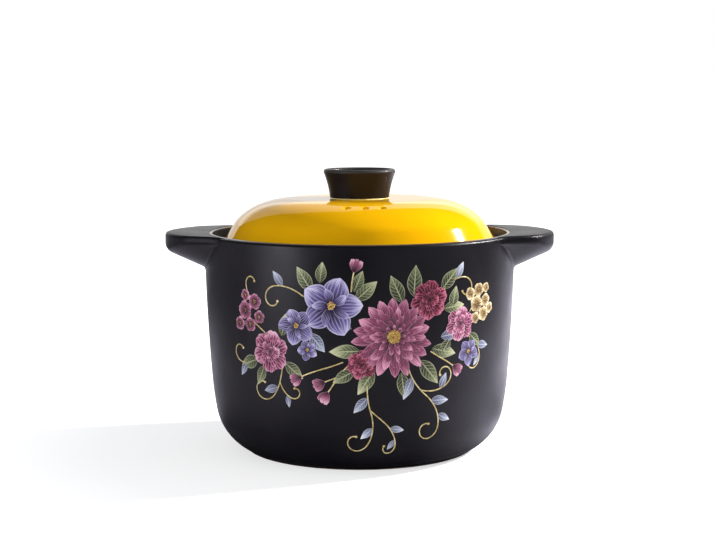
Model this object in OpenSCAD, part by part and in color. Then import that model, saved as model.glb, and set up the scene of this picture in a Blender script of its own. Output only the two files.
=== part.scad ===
// Lidded clay casserole: a tall round pot with a turned foot, two ledge handles, and a
// glazed dome lid that drops into a seat inside the rim. The knob is a small flared cup.
// Upright is +Z and the handles lie along X. The origin is the centre of the foot, on the table.

/* [Pot wall] */
// Outer diameter of the wall just under the rim
rim_d = 237.5; // [200:0.5:300]
// Height from the table to the crest of the rim
body_h = 166.6; // [135:0.5:220]
// Thickness of the wall below the seat of the lid
wall = 7; // [5:0.5:9]
// Thickness of the rounded rim
rim_t = 6; // [4:0.5:7]
// Lean of the wall just under the rim, in degrees from upright
rim_lean = 0.5; // [0:0.1:2]
// Lean of the wall where it hands over to the haunch
waist_lean = 4.6; // [3.5:0.1:6]
// Lean of the haunch where it hands over to the bottom corner
haunch_lean = 10.5; // [8:0.5:14]
// Radius of the haunch, the slow bend above the bottom corner
haunch_r = 240; // [150:10:400]
// Outer radius of the bottom corner
corner_r = 41.5; // [34:0.5:50]
// How far the circle of the bottom corner would reach below the table
corner_dip = 3.1; // [1:0.1:5]

/* [Pot floor and foot] */
// Height of the cooking floor above the table
floor_z = 11; // [9:0.5:14]
// Height of the unglazed underside, inside the foot ring
base_lift = 2.8; // [1.5:0.1:4]
// Height at which the foot ring meets the curve of the body
foot_h = 3.5; // [2.5:0.1:5]
// Step from the curve of the body in to the outside of the foot ring
foot_step = 4.1; // [2.5:0.1:7]
// Width of the foot ring
foot_w = 8; // [5:0.5:12]
// Round along the two lower edges of the foot ring
foot_round = 1.2; // [0.5:0.1:2]

/* [Lid seat] */
// Depth of the seat below the crest of the rim
seat_depth = 11; // [9:0.5:14]
// Width of the ledge that carries the lid
seat_w = 10.75; // [8:0.25:14]
// Thickness of the ledge at its rounded nose
seat_t = 5; // [4:0.5:7]
// Slope of the underside of the ledge, in degrees from level
seat_slope = 45; // [30:5:60]

/* [Lid] */
// Height of the flat crown above the crest of the rim
lid_rise = 25.6; // [21:0.1:34]
// Thickness of the shell of the lid
lid_t = 6; // [4.5:0.5:7]
// Gap between the resting faces of lid and seat
seat_gap = 0.2; // [0.1:0.1:0.5]
// Radial play between the flange of the lid and the wall of the seat
flange_play = 2.2; // [1.5:0.1:4]
// Width of the flange outside the foot of the dome
flange_w = 7; // [5:0.5:9]
// Thickness of the flange
flange_t = 5; // [4:0.5:6]
// Radial play between the locating skirt and the mouth of the pot
skirt_play = 1.5; // [1:0.1:3]
// Thickness of the locating skirt
skirt_t = 4; // [3:0.5:6]
// Depth of the skirt below the resting face
skirt_h = 7.5; // [5:0.5:12]
// Radius of the dome next to the flat crown
crown_r = 80; // [60:1:110]
// Radius of the dome over its shoulder
shoulder_r = 50; // [35:1:60]
// Radius of the dome where it turns down into its side
brow_r = 22; // [14:1:30]
// Slope of the dome where the crown radius ends, in degrees from level
crown_slope = 13.6; // [10:0.1:18]
// Slope of the dome where the shoulder radius ends
shoulder_slope = 44; // [38:0.5:50]
// Slope of the straight side of the dome
side_slope = 59; // [54:0.5:66]

/* [Steam holes] */
// Number of steam holes
vent_count = 3; // [1:1:5]
// Diameter of a steam hole
vent_d = 3; // [2:0.2:5]
// Spacing of the steam holes along their row
vent_pitch = 13; // [10:0.5:18]
// Distance of the row from the axis of the lid
vent_r = 72; // [60:0.5:78]
// Bearing of the middle hole, in degrees from straight ahead towards +X
vent_bearing = 3; // [-180:1:180]
// Flare of a hole at the glazed side
vent_flare = 1; // [0.4:0.1:1.5]

/* [Knob] */
// Height of the knob above the crown
knob_h = 22.3; // [16:0.1:30]
// Outer diameter of the knob at its lip
knob_d = 55; // [44:0.5:64]
// Radius of the hollow flare up the side of the knob
knob_flare_r = 80; // [60:1:120]
// Lean of the side of the knob right under its lip
knob_lean = 21; // [16:0.5:26]
// Thickness of the rounded lip of the knob
knob_lip = 4; // [3:0.5:5]
// Depth of the cup in the top of the knob, below the middle of its lip
knob_cup = 10; // [6:0.5:12]

/* [Handles] */
// Reach of a handle from the wall to its tip
handle_reach = 30.5; // [22:0.5:40]
// Height of the flat handle top above the crest of the rim
handle_rise = 0.5; // [0.1:0.1:2]
// Width of the handle where its rounded end turns into the flared root
handle_tip_w = 85; // [60:1:100]
// Width of the handle root along the wall
handle_root_w = 126; // [110:1:150]
// Share of its reach that the rounded end has lost at that width
handle_droop = 0.31; // [0.15:0.01:0.45]
// Thickness of the handle at the wall
handle_root_t = 27; // [22:0.5:34]
// Thickness of the handle where its root runs out along the wall
handle_end_t = 5; // [4:0.5:7]
// Upward slope of the underside from the wall to the tip, in degrees
handle_slope = 25; // [18:1:30]
// Round along the top edge
handle_edge_r = 3; // [1.5:0.5:4]
// Round under the tip
handle_tip_r = 7.5; // [5:0.5:9]
// Hollow round between the underside and the wall
handle_fillet = 4; // [3:0.5:8]

/* [Colours] */
// Glaze of the pot
pot_colour = [0.10, 0.10, 0.11];
// Glaze of the lid
lid_colour = [0.96, 0.74, 0.05];
// Glaze of the knob
knob_colour = [0.13, 0.10, 0.09];

/* [Hidden] */

// Steps along the curves
turn_fn = 180;
hole_fn = 32;
foot_steps = 4;
corner_steps = 18;
haunch_steps = 4;
wall_steps = 6;
lip_steps = 16;
nose_steps = 6;
crown_steps = 6;
shoulder_steps = 12;
brow_steps = 5;
flange_steps = 12;
flare_steps = 10;
cup_steps = 12;

function on_arc(c, r, a) = c + r * [cos(a), sin(a)];
// Points along an arc; an arc that carries on from the one before leaves its own first point out
function arc(c, r, from, to, n, first = 0) =
    [for (i = [first : n]) on_arc(c, r, from + (to - from) * i / n)];
function ease(u) = let(v = min(max(u, 0), 1)) v * v * (3 - 2 * v);

// Outside of the wall: three arcs, each tangent to the next, found from the corner upwards
rim_r = rim_d / 2;
lip_r = rim_t / 2;
lip_z = body_h - lip_r;
corner_z = corner_r - corner_dip;
haunch_z = corner_z - corner_r * sin(haunch_lean);
waist_z = haunch_z + haunch_r * (sin(haunch_lean) - sin(waist_lean));
wall_r = (lip_z - waist_z) / (sin(waist_lean) - sin(rim_lean));
waist_r = rim_r - wall_r * (cos(rim_lean) - cos(waist_lean));
wall_c = [waist_r - wall_r * cos(waist_lean), waist_z + wall_r * sin(waist_lean)];
haunch_c = [waist_r - haunch_r * cos(waist_lean), waist_z + haunch_r * sin(waist_lean)];
corner_c = haunch_c + (haunch_r - corner_r) * [cos(haunch_lean), -sin(haunch_lean)];
join_angle = asin((corner_z - foot_h) / corner_r);
join_r = corner_c.x + corner_r * cos(join_angle);
foot_r = join_r - foot_step;
foot_in_r = foot_r - foot_w;
function wall_at(z) = wall_c.x + sqrt(pow(wall_r, 2) - pow(wall_c.y - z, 2));

// Inside of the wall, with a corner that is tangent to the cooking floor
inner_haunch = haunch_c + (haunch_r - wall) * [cos(haunch_lean), -sin(haunch_lean)];
inner_corner_r = (inner_haunch.y - floor_z) / (1 - sin(haunch_lean));
inner_corner_c = inner_haunch - inner_corner_r * [cos(haunch_lean), -sin(haunch_lean)];

// Seat of the lid: an upright throat, a flat ledge with a rounded nose, and a sloped underside
throat_r = rim_r - rim_t;
mouth_r = throat_r - seat_w;
seat_z = body_h - seat_depth;
nose_r = seat_t / 2;
nose_c = [mouth_r + nose_r, seat_z - nose_r];
nose_end = on_arc(nose_c, nose_r, 270 - seat_slope);
ledge_low_z = nose_end.y - (wall_at(seat_z - seat_w) - wall - nose_end.x) * tan(seat_slope);
ledge_low_angle = -asin((wall_c.y - ledge_low_z) / (wall_r - wall));

// Dome of the lid, found from its side inwards to the flat crown
rest_z = seat_z + seat_gap;
flange_z = rest_z + flange_t;
flange_r = throat_r - flange_play;
flange_c = [flange_r - flange_t / 2, rest_z + flange_t / 2];
side_foot = [flange_r - flange_w, flange_z];
skirt_r = mouth_r - skirt_play;
skirt_in_r = skirt_r - skirt_t;
skirt_c = [skirt_r - skirt_t / 2, rest_z - skirt_h + skirt_t / 2];
crown_z = body_h + lid_rise;
crown_drop = crown_r * (1 - cos(crown_slope));
shoulder_drop = shoulder_r * (cos(crown_slope) - cos(shoulder_slope));
brow_drop = brow_r * (cos(shoulder_slope) - cos(side_slope));
side_top_z = crown_z - crown_drop - shoulder_drop - brow_drop;
side_top = [side_foot.x - (side_top_z - flange_z) / tan(side_slope), side_top_z];
brow_c = side_top - brow_r * [sin(side_slope), cos(side_slope)];
shoulder_c = brow_c - (shoulder_r - brow_r) * [sin(shoulder_slope), cos(shoulder_slope)];
crown_c = shoulder_c - (crown_r - shoulder_r) * [sin(crown_slope), cos(crown_slope)];
side_foot_in = side_foot - lid_t * [sin(side_slope), cos(side_slope)];
skirt_top_z = side_foot_in.y + (side_foot_in.x - skirt_in_r) * tan(side_slope);

// Steam holes: square to the shoulder of the dome
vent_tilt = asin((vent_r - shoulder_c.x) / shoulder_r);
vent_z = shoulder_c.y + shoulder_r * cos(vent_tilt);
vent_step = vent_pitch / vent_r * 180 / PI;
vent_out = lid_t;
vent_in = 2 * lid_t;
mouth_d = vent_d + 4 * vent_flare;

// Knob: a hollow flare under a rounded lip, and a cup cut by a ball
knob_lip_r = knob_lip / 2;
knob_lip_c = [knob_d / 2 - knob_lip_r, crown_z + knob_h - knob_lip_r];
knob_flare_c = knob_lip_c + (knob_lip_r + knob_flare_r) * [cos(knob_lean), -sin(knob_lean)];
knob_foot_angle = 180 - asin((crown_z - knob_flare_c.y) / knob_flare_r);
cup_r = knob_lip_c.x - knob_lip_r;
cup_ball_r = (pow(cup_r, 2) + pow(knob_cup, 2)) / (2 * knob_cup);
cup_ball_c = [0, knob_lip_c.y - knob_cup + cup_ball_r];

// Handle: sections on planes through the axis of the pot, from one end of the root to the other.
// Rounds shrink with the section, so they stay within these shares of its thickness and reach.
handle_top = body_h + handle_rise;
tip_turn = asin(handle_tip_w / 2 / (rim_r + handle_reach * (1 - handle_droop)));
root_turn = asin(handle_root_w / 2 / rim_r);
end_share = 0.94;
thick_share = 0.3;
droop_power = 1.6;
edge_share = 0.45;
under_share = 0.5;
hollow_share = 0.4;
end_turn = end_share * root_turn;
thick_turn = thick_share * tip_turn;
sections = 44;
edge_steps = 4;
tip_steps = 6;
hollow_steps = 5;
seat_steps = 5;
climb_steps = 3;
climb = 75;

// The round of the top edge keeps this share of the width of lip that the handle covers, so it
// fades into the lip at both ends of the root
lip_share = 0.9;
lip_room = lip_share * lip_r * (1 - cos(climb));

// Share of the full reach at a turn from the middle of the handle
function reach_share(turn) =
    (1 - handle_droop * pow(abs(turn) / tip_turn, droop_power))
    * (1 - ease((abs(turn) - tip_turn) / (root_turn - tip_turn)));

// Thickness at the wall at that turn
function root_t(turn) =
    handle_root_t - (handle_root_t - handle_end_t)
    * ease((abs(turn) - thick_turn) / (root_turn - thick_turn));

// One section as [distance from the axis, height]: top edge, tip, underside, hollow round, and
// back up the wall and over the shoulder of the lip
function handle_section(turn) =
    let(
        reach = handle_reach * reach_share(turn),
        tip_r = rim_r + reach,
        corner = [wall_at(handle_top - root_t(turn)), handle_top - root_t(turn)],
        tip_t = root_t(turn) - (tip_r - corner.x) * tan(handle_slope),
        edge = min(handle_edge_r, edge_share * tip_t, lip_room + edge_share * reach),
        under = min(handle_tip_r, under_share * tip_t, under_share * reach),
        under_z = handle_top - tip_t - under * (1 - sin(handle_slope)) * tan(handle_slope)
            + under * cos(handle_slope),
        hollow = min(handle_fillet, hollow_share * reach),
        sweep = 90 - handle_slope,
        seam_z = corner.y - hollow * tan(sweep / 2)
    )
    concat(
        arc([tip_r - edge, handle_top - edge], edge, 90, 0, edge_steps),
        arc([tip_r - under, under_z], under, 0, -sweep, tip_steps),
        arc([wall_at(seam_z) + hollow, seam_z], hollow, 180 - sweep, 180, hollow_steps),
        [for (i = [1 : seat_steps])
            let(z = seam_z + (lip_z - seam_z) * i / seat_steps) [wall_at(z), z]],
        arc([rim_r - lip_r, lip_z], lip_r, 0, climb, climb_steps, 1),
        [[rim_r - lip_r * (1 - cos(climb)), handle_top]]
    );

handle_turns = [for (k = [0 : sections]) end_turn * (2 * k / sections - 1)];
handle_points = [for (turn = handle_turns, p = handle_section(turn))
    [p.x * cos(turn), p.x * sin(turn), p.y]];
ring = len(handle_section(0));
handle_faces = concat(
    [for (k = [0 : sections - 1], i = [0 : ring - 1])
        let(a = k * ring + i, b = k * ring + (i + 1) % ring) [a, b, b + ring]],
    [for (k = [0 : sections - 1], i = [0 : ring - 1])
        let(a = k * ring + i, b = k * ring + (i + 1) % ring) [a, b + ring, a + ring]],
    [[for (i = [ring - 1 : -1 : 0]) i]],
    [[for (i = [0 : ring - 1]) sections * ring + i]]
);

// Half section of the pot: up the outside from the foot, over the lip, down to the seat and
// round its ledge, along the inside of the wall and over the cooking floor to the axis
pot_half = concat(
    [[0, base_lift], [foot_in_r, base_lift]],
    arc([foot_in_r + foot_round, foot_round], foot_round, 180, 270, foot_steps),
    arc([foot_r - foot_round, foot_round], foot_round, 270, 360, foot_steps),
    [[foot_r, foot_h]],
    arc(corner_c, corner_r, -join_angle, -haunch_lean, corner_steps),
    arc(haunch_c, haunch_r, -haunch_lean, -waist_lean, haunch_steps, 1),
    arc(wall_c, wall_r, -waist_lean, -rim_lean, wall_steps, 1),
    arc([rim_r - lip_r, lip_z], lip_r, 0, 180, lip_steps, 1),
    [[throat_r, seat_z]],
    arc(nose_c, nose_r, 90, 270 - seat_slope, nose_steps),
    arc(wall_c, wall_r - wall, ledge_low_angle, -waist_lean, wall_steps),
    arc(haunch_c, haunch_r - wall, -waist_lean, -haunch_lean, haunch_steps, 1),
    arc(inner_corner_c, inner_corner_r, -haunch_lean, -90, corner_steps, 1),
    [[0, floor_z]]
);

// Half section of the lid: out along the crown, down the dome, round the flange and the
// locating skirt, and back up the inside
lid_half = concat(
    [[0, crown_z]],
    arc(crown_c, crown_r, 90, 90 - crown_slope, crown_steps),
    arc(shoulder_c, shoulder_r, 90 - crown_slope, 90 - shoulder_slope, shoulder_steps, 1),
    arc(brow_c, brow_r, 90 - shoulder_slope, 90 - side_slope, brow_steps, 1),
    [side_foot],
    arc(flange_c, flange_t / 2, 90, -90, flange_steps),
    [[skirt_r, rest_z]],
    arc(skirt_c, skirt_t / 2, 0, -180, flange_steps),
    [[skirt_in_r, skirt_top_z]],
    arc(brow_c, brow_r - lid_t, 90 - side_slope, 90 - shoulder_slope, brow_steps),
    arc(shoulder_c, shoulder_r - lid_t, 90 - shoulder_slope, 90 - crown_slope, shoulder_steps, 1),
    arc(crown_c, crown_r - lid_t, 90 - crown_slope, 90, crown_steps, 1),
    [[0, crown_z - lid_t]]
);

// Half section of the knob: up the hollow flare, over the lip and down into the cup
knob_half = concat(
    [[0, crown_z]],
    arc(knob_flare_c, knob_flare_r, knob_foot_angle, 180 - knob_lean, flare_steps),
    arc(knob_lip_c, knob_lip_r, -knob_lean, 180, flange_steps, 1),
    arc(cup_ball_c, cup_ball_r, -acos(cup_r / cup_ball_r), -90, cup_steps, 1)
);

module pot_body() {
    color(pot_colour) rotate_extrude($fn = turn_fn) polygon(pot_half);
}

module handle() {
    color(pot_colour) polyhedron(points = handle_points, faces = handle_faces);
}

module left_handle() {
    rotate([0, 0, 180]) handle();
}

module right_handle() {
    handle();
}

// One steam hole; its glazed mouth opens in a small cone
module vent(bearing) {
    rotate([0, 0, bearing - 90]) translate([vent_r, 0, vent_z]) rotate([0, vent_tilt, 0]) {
        translate([0, 0, -vent_in]) cylinder(d = vent_d, h = vent_in + vent_out, $fn = hole_fn);
        translate([0, 0, -vent_flare])
            cylinder(d1 = vent_d, d2 = mouth_d, h = 2 * vent_flare, $fn = hole_fn);
    }
}

module lid() {
    color(lid_colour) difference() {
        rotate_extrude($fn = turn_fn) polygon(lid_half);
        for (i = [0 : vent_count - 1]) vent(vent_bearing + (i - (vent_count - 1) / 2) * vent_step);
    }
}

module lid_knob() {
    color(knob_colour) rotate_extrude($fn = turn_fn) polygon(knob_half);
}

pot_body();
left_handle();
right_handle();
lid();
lid_knob();
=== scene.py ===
# %% [markdown]
# # A clay casserole with a glazed lid
# A stew pot is thrown or pressed in clay, dipped in glaze and fired. The pot, its two handles
# and its lid are round or nearly round, so most of this lesson turns a drawn outline about an
# axis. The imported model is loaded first. It is a fixed frame: every piece is made around it.

# %% Load the frame
import random
from math import acos, asin, atan2, cos, degrees, pi, radians, sin, sqrt, tan

import bpy
from mathutils import Matrix, Vector


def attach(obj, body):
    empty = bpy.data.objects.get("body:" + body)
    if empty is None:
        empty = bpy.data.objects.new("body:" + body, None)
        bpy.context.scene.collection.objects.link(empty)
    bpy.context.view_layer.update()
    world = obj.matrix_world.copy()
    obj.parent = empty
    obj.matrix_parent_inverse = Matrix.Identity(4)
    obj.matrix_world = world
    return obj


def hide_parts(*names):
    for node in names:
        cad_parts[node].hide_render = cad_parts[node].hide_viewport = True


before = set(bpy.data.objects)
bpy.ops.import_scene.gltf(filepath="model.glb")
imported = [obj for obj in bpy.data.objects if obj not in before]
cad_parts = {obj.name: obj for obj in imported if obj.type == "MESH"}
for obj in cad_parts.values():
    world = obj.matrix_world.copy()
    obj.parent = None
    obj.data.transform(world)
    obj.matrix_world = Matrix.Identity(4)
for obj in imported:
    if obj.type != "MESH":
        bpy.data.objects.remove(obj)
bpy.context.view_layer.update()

# %% [markdown]
# ## The camera
# The view could be set by eye. Here it is worked out from the ellipses of the rim and the foot,
# because a fitted view makes every later comparison fair. It stands about 1.2 m away, a little
# above the lid, and looks six degrees down. A long lens keeps the pot upright.

# %% Camera
PICTURE_W, FOCAL_PX, SENSOR = 716, 1565.1, 36.0
EYE = (-0.00127, -1.2, 0.26883)
VIEW_DOWN, VIEW_ROLL = 0.1099, -0.0020
FARTHEST = 60.0


def show(thing):
    """Puts an object in the scene and hands it back."""
    bpy.context.scene.collection.objects.link(thing)
    return thing


lens = bpy.data.cameras.new("studio_camera")
lens.sensor_width = SENSOR
lens.lens = FOCAL_PX / PICTURE_W * SENSOR
lens.clip_end = FARTHEST
eye = show(bpy.data.objects.new("studio_camera", lens))
eye.location = EYE
tip = Matrix.Rotation(pi / 2 - VIEW_DOWN, 4, "X")
eye.rotation_euler = (tip @ Matrix.Rotation(VIEW_ROLL, 4, "Z")).to_euler()
bpy.context.scene.camera = eye
print("lens", round(lens.lens, 2), "mm")

# %% [markdown]
# ## Outlines that turn
# A potter's profile is a chain of arcs, each one leaving the last without a corner. Points are
# (radius, height) in millimetres and angles are in degrees. A Screw modifier could turn such an
# outline, but `turn` writes the faces itself, so that poles are closed and nothing is doubled.
# The outline runs up the outside and back down the inside, so that every face looks outwards.

# %% Points and arcs
MM = 0.001


def sine(angle):
    return sin(radians(angle))


def cosine(angle):
    return cos(radians(angle))


def tangent(angle):
    return tan(radians(angle))


def arcsine(share):
    return degrees(asin(share))


def polar(radius, angle):
    """A point at a distance and an angle from the middle."""
    return (radius * cosine(angle), radius * sine(angle))


def plus(a, b):
    return (a[0] + b[0], a[1] + b[1])


def arc(centre, radius, start, end, steps, first=0):
    """Points along an arc. An arc that carries on from another leaves its own first point out."""
    return [plus(centre, polar(radius, start + (end - start) * i / steps))
            for i in range(first, steps + 1)]


# %% Meshes from points and from outlines
SMOOTH_ANGLE = radians(38)
ON_AXIS = 1e-6


def make_piece(name, points, faces, scale=MM):
    """A smooth mesh object at the origin, with its place in its points."""
    mesh = bpy.data.meshes.new(name)
    mesh.from_pydata([tuple(scale * c for c in p) for p in points], [], faces)
    mesh.validate()
    mesh.shade_smooth()
    mesh.set_sharp_from_angle(angle=SMOOTH_ANGLE)
    return show(bpy.data.objects.new(name, mesh))


def skin(rows, wide, closed=False):
    """Faces between rows of points, each `wide` points long. A closed row joins its ends."""
    pairs = [(i, (i + 1) % wide) for i in range(wide if closed else wide - 1)]
    return [[k * wide + i, k * wide + n, (k + 1) * wide + n, (k + 1) * wide + i]
            for k in range(rows - 1) for i, n in pairs]


def turn(name, outline, around):
    """Turns an outline about Z. A point on the axis becomes one pole; a closed ring has none."""
    points, rings = [], []
    for r, z in outline:
        if r < ON_AXIS:
            rings.append([len(points)] * around)
            points.append((0.0, 0.0, z))
        else:
            rings.append(list(range(len(points), len(points) + around)))
            points += [(r * cos(2 * pi * k / around), r * sin(2 * pi * k / around), z)
                       for k in range(around)]
    pairs = list(zip(rings, rings[1:]))
    if outline[0][0] >= ON_AXIS:
        pairs.append((rings[-1], rings[0]))
    faces = []
    for low, high in pairs:
        for k in range(around):
            n = (k + 1) % around
            faces.append(list(dict.fromkeys([low[k], low[n], high[n], high[k]])))
    return make_piece(name, points, [f for f in faces if len(f) > 2])


# %% [markdown]
# ## The wall of the pot
# From the side the wall is three arcs: the tight corner over the foot, a slow haunch, and a
# nearly straight wall that leans out to the rim. A cylinder could be pushed into shape, but only
# arcs that leave each other without a corner give the even reflections of a turned wall. They
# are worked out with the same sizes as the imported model. The inside keeps the wall's thickness,
# and a ledge near the top carries the lid. The lip has a nearly flat land with a crisp inner
# edge, because that is where the light draws a fine line along the rim.

# %% Sizes of the wall
RIM_R, LIP_R, LIP_Z = 118.75, 3.0, 163.6
RIM_LEAN, WAIST_LEAN, HAUNCH_LEAN = 0.5, 4.6, 10.5
HAUNCH_R, CORNER_R, CORNER_Z = 240.0, 41.5, 38.4
WALL_T, FLOOR_Z, BASE_Z, FOOT_H = 7.0, 11.0, 2.8, 3.5
FOOT_STEP, FOOT_W, FOOT_ROUND = 4.1, 8.0, 1.2
THROAT_R, MOUTH_R, SEAT_Z, NOSE_R, LEDGE_SLOPE = 112.75, 102.0, 155.6, 2.5, 45.0
LEDGE_DEEP = 10

haunch_z = CORNER_Z - CORNER_R * sine(HAUNCH_LEAN)
waist_z = haunch_z + HAUNCH_R * (sine(HAUNCH_LEAN) - sine(WAIST_LEAN))
WALL_R = (LIP_Z - waist_z) / (sine(WAIST_LEAN) - sine(RIM_LEAN))
waist = (RIM_R - WALL_R * (cosine(RIM_LEAN) - cosine(WAIST_LEAN)), waist_z)
WALL_C = plus(waist, polar(-WALL_R, -WAIST_LEAN))
HAUNCH_C = plus(waist, polar(-HAUNCH_R, -WAIST_LEAN))
CORNER_C = plus(HAUNCH_C, polar(HAUNCH_R - CORNER_R, -HAUNCH_LEAN))
foot_lean = arcsine((CORNER_Z - FOOT_H) / CORNER_R)
foot_r = CORNER_C[0] + CORNER_R * cosine(foot_lean) - FOOT_STEP
foot_in = foot_r - FOOT_W


def wall_at(z):
    """Outer radius of the upper wall at a height."""
    return WALL_C[0] + sqrt(WALL_R ** 2 - (WALL_C[1] - z) ** 2)


inner = plus(HAUNCH_C, polar(HAUNCH_R - WALL_T, -HAUNCH_LEAN))
inner_corner_r = (inner[1] - FLOOR_Z) / (1 - sine(HAUNCH_LEAN))
inner_corner = plus(inner, polar(-inner_corner_r, -HAUNCH_LEAN))
nose = (MOUTH_R + NOSE_R, SEAT_Z - NOSE_R)
nose_end = plus(nose, polar(NOSE_R, 270 - LEDGE_SLOPE))
under_r = wall_at(SEAT_Z - LEDGE_DEEP) - WALL_T
ledge_low = nose_end[1] - (under_r - nose_end[0]) * tangent(LEDGE_SLOPE)
ledge_angle = -arcsine((WALL_C[1] - ledge_low) / (WALL_R - WALL_T))
print("wall radius", round(WALL_R), "mm; foot", round(foot_in, 1), "to", round(foot_r, 1), "mm")

# %% Turn the wall
SEAT_ROUND = 0.8
LIP_TOP, LIP_OUT, LIP_IN = LIP_Z + LIP_R, 2.2, 0.9
LAND_LEAN, LAND_DROP = 7.0, 0.366
pot_outline = (
    [(0, BASE_Z), (foot_in - 0.6, BASE_Z), (foot_in, BASE_Z - 0.6)]
    + arc((foot_in + FOOT_ROUND, FOOT_ROUND), FOOT_ROUND, 180, 270, 6)
    + arc((foot_r - FOOT_ROUND, FOOT_ROUND), FOOT_ROUND, 270, 360, 6)
    + [(foot_r, FOOT_H - 0.9), (foot_r + 0.25, FOOT_H - 0.3), (foot_r + 0.9, FOOT_H)]
    + arc(CORNER_C, CORNER_R, -foot_lean, -HAUNCH_LEAN, 40)
    + arc(HAUNCH_C, HAUNCH_R, -HAUNCH_LEAN, -WAIST_LEAN, 12, 1)
    + arc(WALL_C, WALL_R, -WAIST_LEAN, -RIM_LEAN, 36, 1)
    + arc((RIM_R - LIP_OUT, LIP_TOP - LAND_DROP - LIP_OUT), LIP_OUT, 0, 90 - LAND_LEAN, 14)
    + arc((THROAT_R + LIP_IN, LIP_TOP - LIP_IN), LIP_IN, 90 - LAND_LEAN, 180, 10)
    + arc((THROAT_R - SEAT_ROUND, SEAT_Z + SEAT_ROUND), SEAT_ROUND, 0, -90, 4)
    + arc(nose, NOSE_R, 90, 270 - LEDGE_SLOPE, 12)
    + arc(WALL_C, WALL_R - WALL_T, ledge_angle, -WAIST_LEAN, 16)
    + arc(HAUNCH_C, HAUNCH_R - WALL_T, -WAIST_LEAN, -HAUNCH_LEAN, 10, 1)
    + arc(inner_corner, inner_corner_r, -HAUNCH_LEAN, -90, 30, 1)
    + [(inner_corner[0] * 0.5, FLOOR_Z), (0, FLOOR_Z)]
)
pot = turn("pot_wall", pot_outline, 200)
print("pot_wall", len(pot.data.polygons), "faces")

# %% [markdown]
# ## The handles
# Each handle is a ledge of clay pressed on under the rim. It is widest at its flat top, and its
# underside rises from a thick root to a rounded tip. A bevelled block could be joined to the
# wall, but its seam would show where a thumb has smoothed the real one. So sections through the
# axis of the pot are worked out from one end of the root to the other, and a skin is laid over
# them. The last points of each section are set a hair inside the wall.

# %% Sizes of a handle
HANDLE_TOP = 167.1
HANDLE_REACH, HANDLE_DROOP, DROOP_POWER = 30.5, 0.31, 1.6
HANDLE_ROOT_T, HANDLE_END_T, HANDLE_SLOPE = 27.0, 5.0, 25.0
HANDLE_EDGE_R, LEAST_EDGE_R, HANDLE_TIP_R, HANDLE_FILLET = 3.0, 2.6, 7.5, 4.0
TIP_TURN = arcsine(42.5 / (RIM_R + HANDLE_REACH * (1 - HANDLE_DROOP)))
ROOT_TURN = arcsine(63.0 / RIM_R)
END_TURN, THICK_TURN = 0.995 * ROOT_TURN, 0.3 * TIP_TURN
EDGE_SHARE, UNDER_SHARE, HOLLOW_SHARE = 0.45, 0.5, 0.4
SUNK, FADE, FADE_FROM = 0.4, 0.62, 0.8
SECTIONS = 89
print("handles: tip up to", round(TIP_TURN, 1), "and root up to", round(ROOT_TURN, 1), "degrees")


# %% One section
def ease(u):
    """Rises from 0 to 1 as u does, with a soft start and end."""
    v = min(max(u, 0.0), 1.0)
    return v * v * (3 - 2 * v)


def handle_section(turned):
    """One section as [distance from the axis, height] at a turn from the middle, in degrees."""
    side = abs(turned)
    reach = HANDLE_REACH * (1 - HANDLE_DROOP * (side / TIP_TURN) ** DROOP_POWER)
    reach *= 1 - ease((side - TIP_TURN) / (ROOT_TURN - TIP_TURN))
    thin = ease((side - THICK_TURN) / (ROOT_TURN - THICK_TURN))
    root_t = HANDLE_ROOT_T - (HANDLE_ROOT_T - HANDLE_END_T) * thin
    fade = FADE * ease((side - FADE_FROM * ROOT_TURN) / (0.2 * ROOT_TURN))
    tip_r, top = RIM_R + reach - fade, HANDLE_TOP - fade
    corner = (wall_at(HANDLE_TOP - root_t), HANDLE_TOP - root_t)
    rising = tangent(HANDLE_SLOPE)
    tip_t = root_t - (tip_r - corner[0]) * rising
    edge = min(HANDLE_EDGE_R, max(EDGE_SHARE * tip_t, LEAST_EDGE_R))
    under = min(HANDLE_TIP_R, UNDER_SHARE * tip_t, UNDER_SHARE * reach)
    under_z = (HANDLE_TOP - tip_t - under * (1 - sine(HANDLE_SLOPE)) * rising
               + under * cosine(HANDLE_SLOPE))
    hollow = min(HANDLE_FILLET, HOLLOW_SHARE * reach)
    sweep = 90 - HANDLE_SLOPE
    seam = corner[1] - hollow * tangent(sweep / 2)
    buried = [(wall_at(z) - SUNK, z) for z in (seam, (seam + LIP_Z) / 2, LIP_Z)]
    return (
        arc((tip_r - edge, top - edge), edge, 90, 0, 8)
        + arc((tip_r - under, under_z), under, 0, -sweep, 10)
        + arc((wall_at(seam) + hollow, seam), hollow, 180 - sweep, 180, 10)
        + buried
        + [(RIM_R - LIP_R - SUNK, top - 1.2), (RIM_R - LIP_R - 0.2, top - 0.3)]
    )


# %% Skin the handles
def handle(name, facing):
    """The skin over the sections; facing is the bearing of its middle in degrees."""
    points = []
    for k in range(SECTIONS):
        turned = END_TURN * (2 * k / (SECTIONS - 1) - 1)
        a = radians(turned + facing)
        points += [(r * cos(a), r * sin(a), z) for r, z in handle_section(turned)]
    ring = len(points) // SECTIONS
    ends = [list(range(ring))[::-1], list(range(len(points) - ring, len(points)))]
    return make_piece(name, points, skin(SECTIONS, ring, closed=True) + ends)


right = handle("right_ledge", 0)
left = handle("left_ledge", 180)
print("handles", len(right.data.polygons), "faces each")

# %% [markdown]
# ## The lid
# The dome has a flat crown, a shoulder and a side that drops to a flange. The flange rests on
# the ledge of the pot and a skirt below it keeps the lid centred. The steam holes could be dark
# dots, but a look along the dome shows that they are holes with soft mouths. Nothing else breaks
# the turned form, so they are cut by a Boolean with a turned cutter that flares at its top.

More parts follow.
